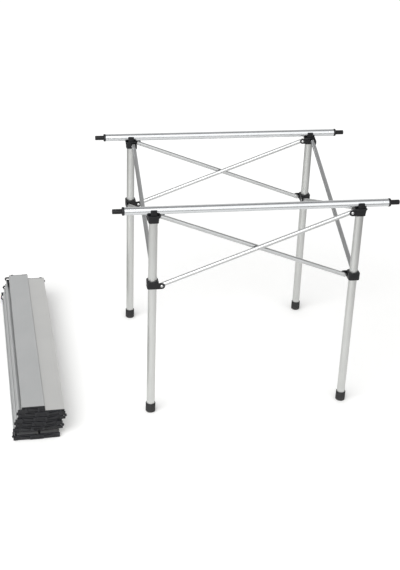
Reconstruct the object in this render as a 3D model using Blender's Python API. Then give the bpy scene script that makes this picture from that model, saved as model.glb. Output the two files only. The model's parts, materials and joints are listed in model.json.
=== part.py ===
# Folding aluminium camp table, taken apart: the leg frame stands open with its two rails in
# place, and the folded slatted top lies on the floor beside it.
# Units are metres, +Z is up. While the pieces are built the origin is the middle of the four
# legs on the floor. The last section moves everything so that the origin is the middle of the
# whole object's footprint.
import math

import bmesh
import bpy
from mathutils import Matrix, Vector

for leftover in list(bpy.data.objects):
    bpy.data.objects.remove(leftover, do_unlink=True)

MM = 0.001
FIT = 0.3 * MM            # clearance between two pieces that touch
PIVOT_FIT = 0.1 * MM      # radial clearance of a rivet in a drilled tube
PAST = 10 * MM            # cutters run this far past what they cut

# Frame layout
LEG_SPACING = 505 * MM    # leg axis to leg axis, the same on all four sides
RAIL_HEIGHT = 560.7 * MM  # rail axis above the floor
PIVOT_UNDER_RAIL = 19.7 * MM  # bracket's lug rivets under the rail's axis
BRACE_RISE = 175 * MM     # a brace's upper rivet above its lower one
PIVOT_REACH = 21.6 * MM   # lug rivet from the leg axis, along the side
BRACE_OFFSET = 6.0 * MM   # brace axis from the plane of the leg axes, one brace each side of it

# Legs and feet
LEG_R = 10.5 * MM
LEG_WALL = 1.2 * MM
FOOT_R = 12.5 * MM
FOOT_HEIGHT = 25.5 * MM
FOOT_FLOOR = 5.0 * MM
FOOT_EDGE = 3.0 * MM      # rounding of the foot's lower edge
FOOT_LIP = 1.0 * MM       # rounding of its lip

# Braces and rivets
BRACE_R = 5.5 * MM
BRACE_WALL = 0.9 * MM
BRACE_PAST_PIVOT = 4.2 * MM
RIVET_R = 1.6 * MM
RIVET_HEAD_R = 3.5 * MM
RIVET_HEAD = 1.2 * MM
WASHER_R = 7.0 * MM
HEAD_BEVEL = 0.5 * MM
SINK = 0.5 * MM           # overlap of solids that are joined into one piece

# Moulded brackets and sliders
LUG_THICK = 2.2 * MM
OUTER_LUG_R = 8.1 * MM
INNER_LUG_R = 7.4 * MM
LUG_ROOT = 4.0 * MM       # a lug plate starts this far from the leg's axis, inside the moulding
BRACKET_HALF_LOW = 12.3 * MM
BRACKET_HALF_HIGH = 13.6 * MM
BRACKET_CORNER = 5.0 * MM
BRACKET_DROP = 9.5 * MM   # bracket's lower edge under its lug rivets
FLANGE_HALF = 15.0 * MM
FLANGE_THICK = 3.0 * MM
FLANGE_CORNER = 4.0 * MM
TAB_WIDTH = 15.6 * MM
TAB_THICK = 2.4 * MM
TAB_CORNER = 1.8 * MM
TAB_ABOVE_AXIS = 4.8 * MM  # tab's top edge above the rail's axis
COLLAR_PROUD = 0.25 * MM  # collar faces stand this much past its lugs
SLIDER_HEIGHT = 19.5 * MM
SLIDER_CORNER = 6 * MM

# Rails and their end plugs
RAIL_R = 9.5 * MM
RAIL_WALL = 1.2 * MM
RAIL_END = 327 * MM       # plug flange's outer face from the middle of the rail
PLUG_FLANGE = 5 * MM
PLUG_FLANGE_R = 10.2 * MM
PLUG_SLEEVE = 16 * MM
PIN_R = 6.1 * MM
PIN_LENGTH = 23 * MM
PLUG_BEVEL = 1.0 * MM

# Folded top
SLAT_WIDTH = 55.6 * MM
SLAT_GAP = 1.6 * MM       # between the two slats of one leaf
SLAT_THICK = 13.5 * MM
SLAT_WALL = 0.9 * MM
SLAT_CORNER = 2.2 * MM
LEAF_LENGTH = 725 * MM    # over the end caps
LEAVES = 5                # leaves of two slats; a single slat lies on top
CAP_THICK = 3.0 * MM
PLUG_DEPTH = 12 * MM
BRIDGE_WIDTH = 34 * MM
BRIDGE_HEIGHT = 11.5 * MM
BRIDGE_PROUD = 2.8 * MM
EYE_R = 3.4 * MM
EYE_THICK = 2.4 * MM
HINGE_PIN_R = 1.5 * MM
HINGE_OUT = 1.2 * MM      # hinge axis outside the leaves' edges
ARM_REACH = 7.0 * MM      # eye arm's root, in from the cap's edge
WEB_REACH = 9.0 * MM      # root of the arm that carries the long pin
BOSS_NEAR = 6.2 * MM      # stepped boss of an upper eye, in from the cap's edge
BOSS_FAR = 13.0 * MM
LEAF_SHIFT = 3.6 * MM     # each leaf lies this much further right than the one below
TOP_SHIFT = 9.0 * MM      # the single slat's left edge from that of the leaf under it
FIRST_FORWARD = 16 * MM   # the lowest leaf lies this much further forward
FOLDED_LEFT = -614 * MM   # lowest leaf's left edge at half length
FOLDED_MIDDLE_Y = 31.5 * MM
FOLDED_TURN = math.radians(1.9)

# What follows from the sizes above
HALF = LEG_SPACING / 2
BRACKET_PIVOT_Z = RAIL_HEIGHT - PIVOT_UNDER_RAIL
SLIDER_PIVOT_Z = BRACKET_PIVOT_Z - BRACE_RISE
BRACE_SPAN = LEG_SPACING - 2 * PIVOT_REACH
BRACE_LENGTH = math.hypot(BRACE_SPAN, BRACE_RISE)
BRACE_ANGLE = math.atan2(BRACE_RISE, BRACE_SPAN)
LUG_INSIDE = BRACE_OFFSET + BRACE_R + FIT
LUG_OUTSIDE = LUG_INSIDE + LUG_THICK
BORE_R = LEG_R + FIT
CRADLE_Z = RAIL_HEIGHT - RAIL_R - FIT
LEG_TOP = CRADLE_Z - FLANGE_THICK - FIT
LAYER = SLAT_THICK + FIT
LEAF_WIDTH = 2 * SLAT_WIDTH + SLAT_GAP
RIVET_TAIL = BRACE_OFFSET - BRACE_R - FIT

parts = bpy.data.collections.new("folding camp table")
bpy.context.scene.collection.children.link(parts)


def material(name, colour, metallic, roughness):
    mat = bpy.data.materials.new(name)
    mat.use_nodes = True
    shader = mat.node_tree.nodes["Principled BSDF"]
    shader.inputs["Base Color"].default_value = (*colour, 1)
    shader.inputs["Metallic"].default_value = metallic
    shader.inputs["Roughness"].default_value = roughness
    mat.diffuse_color = (*colour, 1)
    return mat


LEG_METAL = material("anodised leg tube", (0.60, 0.61, 0.60), 1.0, 0.35)
BRACE_METAL = material("anodised brace tube", (0.66, 0.67, 0.67), 1.0, 0.32)
RAIL_METAL = material("anodised rail tube", (0.62, 0.63, 0.65), 1.0, 0.25)
SLAT_METAL = material("satin anodised slat", (0.48, 0.49, 0.48), 1.0, 0.45)
NYLON = material("black moulded nylon", (0.028, 0.029, 0.032), 0.0, 0.5)
RUBBER = material("black rubber", (0.018, 0.018, 0.019), 0.0, 0.8)
RIVET_METAL = material("steel rivet", (0.62, 0.62, 0.61), 1.0, 0.3)


def own_material(base, name):
    mat = base.copy()
    mat.name = name + " " + base.name
    return mat


def circle_points(radius, count, start=0.0):
    turn = 2 * math.pi / count
    angles = [(i + start) * turn for i in range(count)]
    return [(radius * math.cos(a), radius * math.sin(a)) for a in angles]


def rounded_rectangle(x0, x1, y0, y1, radius, steps=2):
    corners = [(x1 - radius, y0 + radius, -90), (x1 - radius, y1 - radius, 0),
               (x0 + radius, y1 - radius, 90), (x0 + radius, y0 + radius, 180)]
    points = []
    for cx, cy, start in corners:
        for i in range(steps + 1):
            angle = math.radians(start + 90 * i / steps)
            points.append((cx + radius * math.cos(angle), cy + radius * math.sin(angle)))
    return points


def bring_to_bmesh(ob):
    # Evaluates an object with its modifiers and returns the result, then drops the object.
    bpy.context.view_layer.update()
    graph = bpy.context.evaluated_depsgraph_get()
    mesh = bpy.data.meshes.new_from_object(ob.evaluated_get(graph))
    mesh.transform(ob.matrix_world)
    bm = bmesh.new()
    bm.from_mesh(mesh)
    bpy.data.objects.remove(ob, do_unlink=True)
    bpy.data.meshes.remove(mesh)
    bmesh.ops.remove_doubles(bm, verts=bm.verts, dist=1e-6)
    return bm


def slab(outlines, z0, z1):
    # A flat outline, with holes where there is more than one loop, made solid from z0 to z1.
    curve = bpy.data.curves.new("outline", "CURVE")
    curve.dimensions = "2D"
    curve.fill_mode = "BOTH"
    curve.extrude = (z1 - z0) / 2
    for points in outlines:
        spline = curve.splines.new("POLY")
        spline.points.add(len(points) - 1)
        for knot, (x, y) in zip(spline.points, points):
            knot.co = (x, y, 0, 1)
        spline.use_cyclic_u = True
    ob = bpy.data.objects.new("outline", curve)
    ob.location.z = (z0 + z1) / 2
    parts.objects.link(ob)
    bm = bring_to_bmesh(ob)
    bmesh.ops.recalc_face_normals(bm, faces=bm.faces)
    return bm


def turned(profile, steps=24):
    # A round piece: the profile of (radius, height) points is spun about Z.
    bm = bmesh.new()
    knots = [bm.verts.new((r, 0, z)) for r, z in profile]
    edges = [bm.edges.new(pair) for pair in zip(knots, knots[1:])]
    bmesh.ops.spin(bm, geom=knots + edges, cent=(0, 0, 0), axis=(0, 0, 1), angle=2 * math.pi,
                   steps=steps, use_merge=True)
    bmesh.ops.remove_doubles(bm, verts=bm.verts, dist=1e-6)
    bmesh.ops.recalc_face_normals(bm, faces=bm.faces)
    return bm


def rod(radius, start, end, segments=10):
    start = Vector(start)
    end = Vector(end)
    axis = end - start
    bm = bmesh.new()
    bmesh.ops.create_cone(bm, cap_ends=True, segments=segments, radius1=radius, radius2=radius,
                          depth=axis.length)
    place = Matrix.Translation((start + end) / 2) @ axis.to_track_quat("Z", "Y").to_matrix().to_4x4()
    bm.transform(place)
    return bm


def drill(radius, start, end, segments=8):
    # A cutter whose flats, not its corners, stand at the radius, so a round shaft clears it.
    return rod(radius / math.cos(math.pi / segments), start, end, segments)


def box(x0, x1, y0, y1, z0, z1):
    bm = bmesh.new()
    bmesh.ops.create_cube(bm, size=1)
    bm.transform(Matrix.Translation(((x0 + x1) / 2, (y0 + y1) / 2, (z0 + z1) / 2))
                 @ Matrix.Diagonal((x1 - x0, y1 - y0, z1 - z0, 1)))
    return bm


def upright(bm):
    # Turns a slab made in X and Y so that its Y becomes height and its thickness runs along -Y.
    bm.transform(Matrix.Rotation(math.radians(90), 4, "X"))
    return bm


def temporary(bm):
    mesh = bpy.data.meshes.new("temporary")
    bm.to_mesh(mesh)
    bm.free()
    ob = bpy.data.objects.new("temporary", mesh)
    parts.objects.link(ob)
    return ob


def combine(base, others, operation):
    target = temporary(base)
    helpers = [temporary(bm) for bm in others]
    for helper in helpers:
        modifier = target.modifiers.new(operation, "BOOLEAN")
        modifier.operation = operation
        modifier.solver = "EXACT"
        modifier.object = helper
    bm = bring_to_bmesh(target)
    for helper in helpers:
        bpy.data.objects.remove(helper, do_unlink=True)
    bmesh.ops.dissolve_limit(bm, angle_limit=math.radians(0.1), verts=bm.verts, edges=bm.edges)
    return bm


def union(base, *others):
    return combine(base, others, "UNION")


def cut(base, *others):
    return combine(base, others, "DIFFERENCE")


def moved(bm, matrix):
    bm.transform(matrix)
    return bm


def axis_empty(name, position):
    # The joint of a moving body: its pieces hang from this empty.
    empty = bpy.data.objects.new(name.replace(" ", "_"), None)
    empty.empty_display_size = 0.02
    empty.location = position
    parts.objects.link(empty)
    return empty


def piece(name, bm, base_material, holder):
    name = name.replace(" ", "_")
    bm.transform(Matrix.Translation(-holder.location))
    mesh = bpy.data.meshes.new(name)
    bm.to_mesh(mesh)
    bm.free()
    mesh.materials.append(own_material(base_material, name))
    mesh.shade_smooth()
    mesh.set_sharp_from_angle(angle=math.radians(35))
    ob = bpy.data.objects.new(name, mesh)
    ob.parent = holder
    parts.objects.link(ob)
    return ob


# The four sides are turned copies of the front side and the four corners of the front left one.
CORNERS = ["front left", "front right", "back right", "back left"]
SIDES = ["front", "right", "back", "left"]


def quarter(index):
    return Matrix.Rotation(math.radians(90 * index), 4, "Z")


def corner_place(index):
    corner = quarter(index) @ Vector((-HALF, -HALF, 0))
    return Matrix.Translation(corner) @ quarter(index)


def side_point(index, x, y, z):
    return quarter(index) @ Vector((x, y, z))


# Joint axes. The front left leg stands still, and every other moving body has an empty on its
# own axis: braces and sliders on a lug rivet, legs on the rivet of the brace that carries them.
FRONT_PLANE = -HALF
LEFT_END = -HALF + PIVOT_REACH
RIGHT_END = HALF - PIVOT_REACH
CROSS_Z = (BRACKET_PIVOT_Z + SLIDER_PIVOT_Z) / 2
FALLING_PLANE = FRONT_PLANE + BRACE_OFFSET
RISING_PLANE = FRONT_PLANE - BRACE_OFFSET

corner_top_left = {k: side_point(k, LEFT_END, FALLING_PLANE, BRACKET_PIVOT_Z) for k in range(4)}
corner_top_right = {k: side_point(k, RIGHT_END, RISING_PLANE, BRACKET_PIVOT_Z) for k in range(4)}
slider_low_left = {k: side_point(k, LEFT_END, RISING_PLANE, SLIDER_PIVOT_Z) for k in range(4)}
slider_low_right = {k: side_point(k, RIGHT_END, FALLING_PLANE, SLIDER_PIVOT_Z) for k in range(4)}
crossing = {k: side_point(k, 0, FRONT_PLANE, CROSS_Z) for k in range(4)}

leg_axis = {
    0: axis_empty("fixed corner", (-HALF, -HALF, 0)),
    1: axis_empty("front right leg pivot", corner_top_right[0]),
    2: axis_empty("back right leg pivot", corner_top_right[1]),
    3: axis_empty("back left leg pivot", corner_top_left[3]),
}
slider_axis = {
    0: axis_empty("front left slider pivot", slider_low_left[0]),
    1: axis_empty("front right slider pivot", slider_low_right[0]),
    2: axis_empty("back right slider pivot", slider_low_right[1]),
    3: axis_empty("back left slider pivot", slider_low_left[3]),
}
falling_axis = {
    0: axis_empty("front falling brace pivot", corner_top_left[0]),
    1: axis_empty("right falling brace pivot", corner_top_left[1]),
    2: axis_empty("back falling brace pivot", crossing[2]),
    3: axis_empty("left falling brace pivot", crossing[3]),
}
rising_axis = {
    0: axis_empty("front rising brace pivot", crossing[0]),
    1: axis_empty("right rising brace pivot", crossing[1]),
    2: axis_empty("back rising brace pivot", corner_top_right[2]),
    3: axis_empty("left rising brace pivot", corner_top_right[3]),
}

# Legs and rubber feet. Each leg is one length of tube, open at both ends, with its lower end in
# the foot's pocket and its upper end in the bracket's socket.
for k, corner in enumerate(CORNERS):
    leg = slab([circle_points(LEG_R, 24), circle_points(LEG_R - LEG_WALL, 24)],
               FOOT_FLOOR + FIT, LEG_TOP)
    piece("leg tube " + corner, moved(leg, corner_place(k)), LEG_METAL, leg_axis[k])
    lip = FOOT_HEIGHT
    foot = turned([(0, 0), (FOOT_R - FOOT_EDGE / 2, 0), (FOOT_R - FOOT_EDGE / 7, FOOT_EDGE / 3),
                   (FOOT_R, FOOT_EDGE), (FOOT_R, lip - FOOT_LIP), (FOOT_R - 0.6 * FOOT_LIP, lip),
                   (BORE_R, lip), (BORE_R, FOOT_FLOOR), (0, FOOT_FLOOR)])
    piece("rubber foot " + corner, moved(foot, corner_place(k)), RUBBER, leg_axis[k])


def lug(along, plane_sign, pivot_z, radius):
    # One lug plate with its rivet, for a leg on the origin. It lies in the plane
    # plane_sign * (inside to outside) and runs along X or Y towards the neighbouring leg.
    top = pivot_z + radius
    low = pivot_z - radius
    turns = [math.radians(a) for a in range(0, 181, 20)]
    arc = [(PIVOT_REACH + radius * math.sin(a), pivot_z - radius * math.cos(a)) for a in turns]
    outline = [(LUG_ROOT, low)] + arc + [(LUG_ROOT, top)]
    plate = upright(slab([outline], LUG_INSIDE, LUG_OUTSIDE))
    pivot = Vector((PIVOT_REACH, 0, pivot_z))
    shaft = rod(RIVET_R, pivot + Vector((0, -LUG_OUTSIDE + SINK, 0)),
                pivot + Vector((0, -RIVET_TAIL, 0)))
    head = rod(RIVET_HEAD_R, pivot + Vector((0, -LUG_OUTSIDE + SINK / 2, 0)),
               pivot + Vector((0, -LUG_OUTSIDE - RIVET_HEAD, 0)), 12)
    whole = union(plate, shaft, head)
    if plane_sign > 0:
        whole.transform(Matrix.Scale(-1, 4, (0, 1, 0)))
        bmesh.ops.reverse_faces(whole, faces=whole.faces)
    if along == "Y":
        # Swaps X and Y, so that a lug beside +X comes to lie beside +Y.
        whole.transform(Matrix(((0, 1, 0, 0), (1, 0, 0, 0), (0, 0, 1, 0), (0, 0, 0, 1))))
        bmesh.ops.reverse_faces(whole, faces=whole.faces)
    return whole


# Corner brackets. One black moulding caps each leg: a tapered socket, a flange, two tabs that
# cradle the rail, an inner lug for this side's falling brace and an outer lug for the last side's
# rising brace.
for k, corner in enumerate(CORNERS):
    low = BRACKET_PIVOT_Z - BRACKET_DROP
    flange_low = CRADLE_Z - FLANGE_THICK
    half = BRACKET_HALF_LOW
    body = slab([rounded_rectangle(-half, half, -half, half, BRACKET_CORNER)],
                low, CRADLE_Z - FLANGE_THICK / 3)
    spread = BRACKET_HALF_HIGH / BRACKET_HALF_LOW
    for vert in body.verts:
        if vert.co.z > flange_low:
            vert.co.x *= spread
            vert.co.y *= spread
    half = FLANGE_HALF
    flange = slab([rounded_rectangle(-half, half, -half, half, FLANGE_CORNER)], flange_low, CRADLE_Z)
    tab_shape = rounded_rectangle(-TAB_WIDTH / 2, TAB_WIDTH / 2, CRADLE_Z - 0.7 * FLANGE_THICK,
                                  RAIL_HEIGHT + TAB_ABOVE_AXIS, TAB_CORNER)
    inside = RAIL_R + FIT
    tabs = [upright(slab([tab_shape], inside, inside + TAB_THICK)),
            upright(slab([tab_shape], -inside - TAB_THICK, -inside))]
    if k % 2:
        tabs = [moved(tab, quarter(1)) for tab in tabs]
    falling_lug = lug("X", 1, BRACKET_PIVOT_Z, INNER_LUG_R)
    rising_lug = lug("Y", -1, BRACKET_PIVOT_Z, OUTER_LUG_R)
    whole = union(body, flange, *tabs, falling_lug, rising_lug)
    socket = rod(BORE_R, (0, 0, low - PAST), (0, 0, flange_low), 24)
    whole = cut(whole, socket)
    piece("corner bracket " + corner, moved(whole, corner_place(k)), NYLON, leg_axis[k])

# Sliding collars. A square moulding with rounded corners slides on each leg. It has an outer lug
# for this side's rising brace and an inner lug for the last side's falling brace.
for k, corner in enumerate(CORNERS):
    low = SLIDER_PIVOT_Z - OUTER_LUG_R - COLLAR_PROUD
    high = low + SLIDER_HEIGHT
    half = LUG_OUTSIDE + COLLAR_PROUD
    collar = slab([rounded_rectangle(-half, half, -half, half, SLIDER_CORNER)], low, high)
    rising_lug = lug("X", -1, SLIDER_PIVOT_Z, OUTER_LUG_R)
    falling_lug = lug("Y", 1, SLIDER_PIVOT_Z, OUTER_LUG_R)
    collar = union(collar, rising_lug, falling_lug)
    collar = cut(collar, rod(BORE_R, (0, 0, low - PAST), (0, 0, high + PAST), 24))
    piece("sliding collar " + corner, moved(collar, corner_place(k)), NYLON, slider_axis[k])

# Braces. Two tubes cross on each side: the falling one runs down from the left bracket
# inside the plane of the legs, the rising one up to the right bracket outside it. Each is drilled
# for three rivets, and a thin washer keeps them apart where they cross.
for k, side in enumerate(SIDES):
    for name, sign, plane, holder in (("falling", 1, FALLING_PLANE, falling_axis[k]),
                                      ("rising", -1, RISING_PLANE, rising_axis[k])):
        end = BRACE_LENGTH / 2 + BRACE_PAST_PIVOT
        tube = slab([circle_points(BRACE_R, 12, 0.5), circle_points(BRACE_R - BRACE_WALL, 12, 0.5)],
                    -end, end)
        tube.transform(Matrix.Rotation(math.radians(90), 4, "Y"))
        holes = [drill(RIVET_R + PIVOT_FIT, (x, -PAST, 0), (x, PAST, 0))
                 for x in (-BRACE_LENGTH / 2, 0, BRACE_LENGTH / 2)]
        tube = cut(tube, *holes)
        tube.transform(quarter(k) @ Matrix.Translation((0, plane, CROSS_Z))
                       @ Matrix.Rotation(sign * BRACE_ANGLE, 4, "Y"))
        piece(name + " brace " + side, tube, BRACE_METAL, holder)
    holder = falling_axis[k] if k in (0, 1) else rising_axis[k]
    outside = BRACE_OFFSET + BRACE_R + FIT
    bevel_r = RIVET_HEAD_R - HEAD_BEVEL
    rivet = turned([(0, -outside - RIVET_HEAD), (bevel_r, -outside - RIVET_HEAD),
                    (RIVET_HEAD_R, -outside - HEAD_BEVEL), (RIVET_HEAD_R, -outside),
                    (RIVET_R, -outside), (RIVET_R, -RIVET_TAIL), (WASHER_R, -RIVET_TAIL),
                    (WASHER_R, RIVET_TAIL), (RIVET_R, RIVET_TAIL), (RIVET_R, outside),
                    (RIVET_HEAD_R, outside), (RIVET_HEAD_R, outside + HEAD_BEVEL),
                    (bevel_r, outside + RIVET_HEAD), (0, outside + RIVET_HEAD)], 10)
    rivet.transform(quarter(k) @ Matrix.Translation((0, FRONT_PLANE, CROSS_Z))
                    @ Matrix.Rotation(math.radians(90), 4, "X"))
    piece("crossing rivet " + side, rivet, RIVET_METAL, holder)

# Rails. A round tube lies in the cradles of the front pair and of the back pair of brackets, with
# a black plug in each end whose pin holds the edge of the top.
for name, y in (("front", -HALF), ("back", HALF)):
    holder = axis_empty(name + " rail lift", (-HALF, y, RAIL_HEIGHT))
    end = RAIL_END - PLUG_FLANGE - FIT
    tube = slab([circle_points(RAIL_R, 24), circle_points(RAIL_R - RAIL_WALL, 24)], -end, end)
    middle = Matrix.Translation((0, y, RAIL_HEIGHT))
    tube.transform(middle @ Matrix.Rotation(math.radians(90), 4, "Y"))
    piece("rail " + name, tube, RAIL_METAL, holder)
    for hand, sign in (("left", -1), ("right", 1)):
        flange = RAIL_END - PLUG_FLANGE
        tip = RAIL_END + PIN_LENGTH
        sleeve = RAIL_R - RAIL_WALL - FIT
        inner = flange - PLUG_SLEEVE
        bevel = PLUG_BEVEL
        plug = turned([(0, inner), (sleeve - bevel, inner), (sleeve, inner + 2 * bevel),
                       (sleeve, flange), (PLUG_FLANGE_R, flange), (PLUG_FLANGE_R, RAIL_END - bevel),
                       (PLUG_FLANGE_R - bevel, RAIL_END), (PIN_R, RAIL_END), (PIN_R, tip - bevel),
                       (PIN_R - bevel, tip), (0, tip)], 18)
        plug.transform(middle @ Matrix.Rotation(math.radians(90 * sign), 4, "Y"))
        piece("rail plug " + name + " " + hand, plug, NYLON, holder)

# Folded top. Five leaves of two slats lie zigzag on each other and a single slat on the last
# one. Each leaf hinges to the next at an outer edge, by eyes and pins on the end caps: left, then
# right, and so on upwards.
FOLDED = (Matrix.Translation((FOLDED_LEFT + LEAF_WIDTH / 2, FOLDED_MIDDLE_Y, 0))
          @ Matrix.Rotation(FOLDED_TURN, 4, "Z"))


def leaf_left(level):
    # Left edge of the leaf at this level, 0 for the lowest, in the folded top's own frame.
    if level == LEAVES:
        return leaf_left(LEAVES - 1) + TOP_SHIFT
    return -LEAF_WIDTH / 2 + level * LEAF_SHIFT


def leaf_right(level):
    return leaf_left(level) + (SLAT_WIDTH if level == LEAVES else LEAF_WIDTH)


def leaf_front(level):
    return -LEAF_LENGTH / 2 - (FIRST_FORWARD if level == 0 else 0)


def hinge_point(level):
    # Axis between this leaf and the one above it, as x and z.
    if level % 2 == 0:
        x = min(leaf_left(level), leaf_left(level + 1)) - HINGE_OUT
    else:
        x = max(leaf_right(level), leaf_right(level + 1)) + HINGE_OUT
    return x, (level + 1) * LAYER - FIT / 2


leaf_axis = {0: axis_empty("folded top lift", FOLDED @ Vector((0, 0, 0)))}
for level in range(1, LEAVES + 1):
    x, z = hinge_point(level - 1)
    leaf_axis[level] = axis_empty("leaf hinge %d" % level, FOLDED @ Vector((x, 0, z)))

for level in range(LEAVES + 1):
    holder = leaf_axis[level]
    single = level == LEAVES
    left = leaf_left(level)
    right = leaf_right(level)
    front = leaf_front(level)
    back = front + LEAF_LENGTH
    low = level * LAYER
    high = low + SLAT_THICK
    label = "single" if single else "leaf %d" % (level + 1)
    lefts = [left] if single else [left, left + SLAT_WIDTH + SLAT_GAP]
    for i, x0 in enumerate(lefts):
        x1 = x0 + SLAT_WIDTH
        w = SLAT_WALL
        tube = slab([rounded_rectangle(x0, x1, low, high, SLAT_CORNER),
                     rounded_rectangle(x0 + w, x1 - w, low + w, high - w, SLAT_CORNER - w)],
                    -back + CAP_THICK + FIT, -front - CAP_THICK - FIT)
        hand = "" if single else (" left", " right")[i]
        piece("slat " + label + hand, moved(upright(tube), FOLDED), SLAT_METAL, holder)
    for end_name, sign, face in (("front", -1, front), ("back", 1, back)):
        # The cap is built as if at the front, facing -Y with its outer face at y = 0.
        blocks = []
        for x0 in lefts:
            x1 = x0 + SLAT_WIDTH
            plate = upright(slab([rounded_rectangle(x0, x1, low, high, SLAT_CORNER)], -CAP_THICK, 0))
            w = SLAT_WALL + FIT
            plug_shape = rounded_rectangle(x0 + w, x1 - w, low + w, high - w, SLAT_CORNER - SLAT_WALL)
            plug = upright(slab([plug_shape], -CAP_THICK - PLUG_DEPTH, -CAP_THICK / 2))
            blocks += [plate, plug]
        middle = (low + high) / 2
        if single:
            knuckle = box(right - BRIDGE_WIDTH / 2, right - 2 * SINK, -BRIDGE_PROUD, CAP_THICK / 2,
                          middle - BRIDGE_HEIGHT / 2, middle + BRIDGE_HEIGHT / 2)
        else:
            seam = left + SLAT_WIDTH + SLAT_GAP / 2
            knuckle = box(seam - BRIDGE_WIDTH / 2, seam + BRIDGE_WIDTH / 2, -BRIDGE_PROUD,
                          CAP_THICK - SINK, middle - BRIDGE_HEIGHT / 2, middle + BRIDGE_HEIGHT / 2)
        blocks.append(knuckle)
        cuts = []
        if level < LEAVES:
            # Eye for the leaf above, in the layer next to the cap's face.
            x, z = hinge_point(level)
            inward = 1 if level % 2 == 0 else -1
            edge = left if inward > 0 else right
            arm_end = edge + inward * ARM_REACH
            eye = rod(EYE_R, (x, -FIT - EYE_THICK, z), (x, -FIT, z), 12)
            arm = box(min(x, arm_end), max(x, arm_end), -EYE_THICK, CAP_THICK / 2,
                      low + 0.18 * SLAT_THICK, high - 0.13 * SLAT_THICK)
            arm_clear = box(min(x, edge), max(x, edge), -FIT, CAP_THICK, low, high)
            blocks += [eye, cut(arm, arm_clear)]
            cuts.append(drill(HINGE_PIN_R + PIVOT_FIT, (x, -PAST, z), (x, PAST, z)))
        if level == 1:
            # The lowest leaf is shifted along, so a long pin reaches its eye.
            x, z = hinge_point(0)
            reach = left + WEB_REACH
            far = FIRST_FORWARD + 2 * EYE_THICK
            y0, y1 = (-far, 0) if sign < 0 else (-EYE_THICK, far - EYE_THICK)
            web = box(x, reach, -EYE_THICK, CAP_THICK / 2, low + 0.02 * SLAT_THICK,
                      high - 0.15 * SLAT_THICK)
            web_clear = box(x - EYE_R, left - SINK / 5, 0, CAP_THICK, low, high)
            blocks += [cut(web, web_clear), rod(HINGE_PIN_R, (x, y0, z), (x, y1, z))]
        elif level > 1:
            # Eye and pin, one layer further out, stepped over the eye of the leaf below.
            x, z = hinge_point(level - 1)
            inward = 1 if (level - 1) % 2 == 0 else -1
            edge = left if inward > 0 else right
            y_in = -2 * FIT - EYE_THICK
            y_out = y_in - EYE_THICK
            a = edge + inward * BOSS_NEAR
            b = edge + inward * BOSS_FAR
            c = b - inward * SINK
            eye = rod(EYE_R, (x, y_out, z), (x, y_in, z), 12)
            boss = box(min(a, b), max(a, b), y_out + 0.4 * SINK, CAP_THICK / 2,
                       low + 0.15 * SLAT_THICK, high - 0.07 * SLAT_THICK)
            web = box(min(x, c), max(x, c), y_out + 0.8 * SINK, y_in - 0.4 * SINK,
                      z + SINK, high - 0.1 * SLAT_THICK)
            pin = rod(HINGE_PIN_R, (x, y_out + SINK, z), (x, 0, z))
            blocks += [eye, boss, web, pin]
        cap = union(*blocks)
        if cuts:
            cap = cut(cap, *cuts)
        if sign > 0:
            cap.transform(Matrix.Scale(-1, 4, (0, 1, 0)))
            bmesh.ops.reverse_faces(cap, faces=cap.faces)
        cap.transform(FOLDED @ Matrix.Translation((0, face, 0)))
        piece("end cap " + label + " " + end_name, cap, NYLON, holder)

# Moves the finished object so that the origin is the middle of its footprint on the floor.
bpy.context.view_layer.update()
xs = []
ys = []
for ob in parts.objects:
    if ob.type == "MESH":
        for vert in ob.data.vertices:
            world = ob.matrix_world @ vert.co
            xs.append(world.x)
            ys.append(world.y)
shift = Vector((-(min(xs) + max(xs)) / 2, -(min(ys) + max(ys)) / 2, 0))
for ob in parts.objects:
    if ob.parent is None:
        ob.location += shift
bpy.context.view_layer.update()
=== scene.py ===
# Folding aluminium camp table, taken apart for packing. The leg frame stands open with its two
# rails in their cradles, and the slatted top lies folded on the floor at its left.
import json
import math

import bmesh
import bpy
from mathutils import Matrix, Vector


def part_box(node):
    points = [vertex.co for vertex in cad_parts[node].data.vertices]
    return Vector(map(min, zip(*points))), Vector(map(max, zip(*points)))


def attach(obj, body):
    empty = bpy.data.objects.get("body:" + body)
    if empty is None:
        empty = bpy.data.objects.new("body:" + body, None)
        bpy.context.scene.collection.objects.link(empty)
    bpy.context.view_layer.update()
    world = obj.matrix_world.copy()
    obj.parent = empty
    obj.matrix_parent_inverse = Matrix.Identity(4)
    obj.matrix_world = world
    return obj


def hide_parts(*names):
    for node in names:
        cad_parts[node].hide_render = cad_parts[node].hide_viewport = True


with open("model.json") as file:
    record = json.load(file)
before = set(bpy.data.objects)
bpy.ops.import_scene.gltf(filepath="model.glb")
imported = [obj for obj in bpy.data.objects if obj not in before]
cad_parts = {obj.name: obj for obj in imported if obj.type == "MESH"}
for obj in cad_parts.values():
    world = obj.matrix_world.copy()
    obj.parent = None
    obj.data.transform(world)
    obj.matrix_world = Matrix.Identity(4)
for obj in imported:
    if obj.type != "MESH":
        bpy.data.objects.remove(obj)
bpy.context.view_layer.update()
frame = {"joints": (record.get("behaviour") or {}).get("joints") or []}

# Camera. It stands in front of the table, a little to the left of the frame and 1.61 m up, and
# looks 27 degrees down through a 71 mm lens.
camera_place = Vector((-0.42684, -2.67990, 1.61167))
camera_yaw = math.radians(-10.189)
camera_pitch = math.radians(27.185)
camera_roll = math.radians(2.126)

camera_data = bpy.data.cameras.new("camera")
camera_data.sensor_fit = "VERTICAL"
camera_data.sensor_height = 36.0
camera_data.lens = 70.79
camera = bpy.data.objects.new("camera", camera_data)
camera.matrix_world = (Matrix.Translation(camera_place) @ Matrix.Rotation(camera_yaw, 4, "Z")
                       @ Matrix.Rotation(math.radians(90) - camera_pitch, 4, "X")
                       @ Matrix.Rotation(camera_roll, 4, "Z"))
bpy.context.scene.collection.objects.link(camera)
bpy.context.scene.camera = camera

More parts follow.
